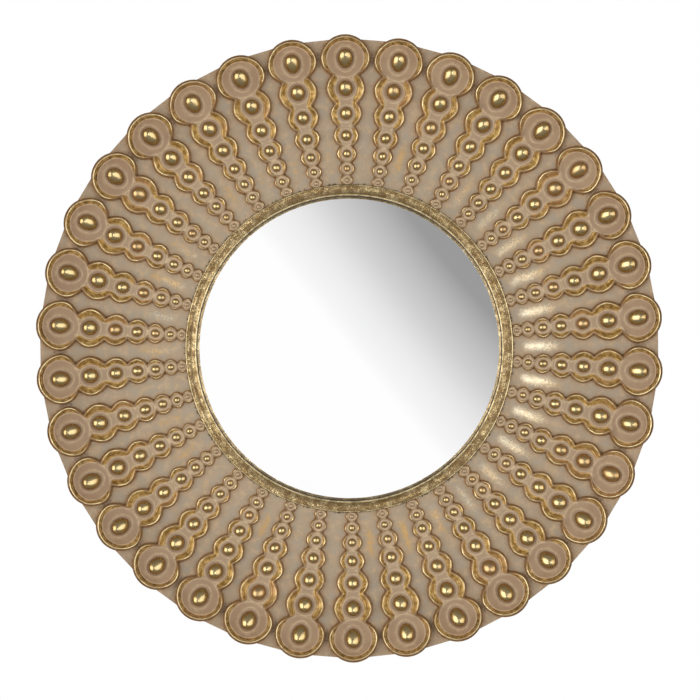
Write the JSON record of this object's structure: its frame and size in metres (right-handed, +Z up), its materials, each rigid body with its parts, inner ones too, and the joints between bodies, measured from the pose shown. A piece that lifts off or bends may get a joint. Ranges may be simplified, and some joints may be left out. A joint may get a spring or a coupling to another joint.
{
  "type": "convex wall mirror",
  "caption": "Round wall mirror with a domed glass in a narrow gilt ring, set in a dished frame of radiating rows of shrinking discs and domes, hung by a D-ring.",
  "frame": {"origin": "on the wall, straight behind the middle of the glass", "axes": "+Z up the wall, -Y out into the room, +X to the right as seen from the front"},
  "size_m": [0.7966, 0.0748, 0.8],
  "materials": {
    "gilt_wash": "moulded resin, gilded, under a greyish taupe wash that is rubbed back to gold on rims and domes",
    "gold_leaf": "gilded moulding with brown-speckled gold leaf",
    "mirror_glass": "polished domed glass, silvered on its back",
    "felt": "thin black felt",
    "foam": "grey foam",
    "fibreboard": "plain brown fibreboard",
    "zinc_steel": "bright zinc plate",
    "rubber": "matt black rubber"
  },
  "bodies": {
    "mirror": {"frame_casting": "gilt_wash", "sight_ring": "gold_leaf", "convex_glass": "mirror_glass", "glass_seal": "felt", "cushion_ring": "foam", "back_board": "fibreboard", "back_screw_1": "zinc_steel", "back_screw_2": "zinc_steel", "back_screw_3": "zinc_steel", "back_screw_4": "zinc_steel", "back_screw_5": "zinc_steel", "back_screw_6": "zinc_steel", "hanger_strap": "zinc_steel", "hanger_screw_1": "zinc_steel", "hanger_screw_2": "zinc_steel", "wall_bumper_1": "rubber", "wall_bumper_2": "rubber", "wall_bumper_3": "rubber", "wall_bumper_4": "rubber"},
    "hanging_ring": {"hanger_ring": "zinc_steel"}
  },
  "joints": [
    {"name": "ring_hinge", "type": "hinge", "parent": "mirror", "child": "hanging_ring", "pos_m": [0, -0.00455, 0.267], "axis": [1, 0, 0], "range_deg": [0, 180]}
  ]
}
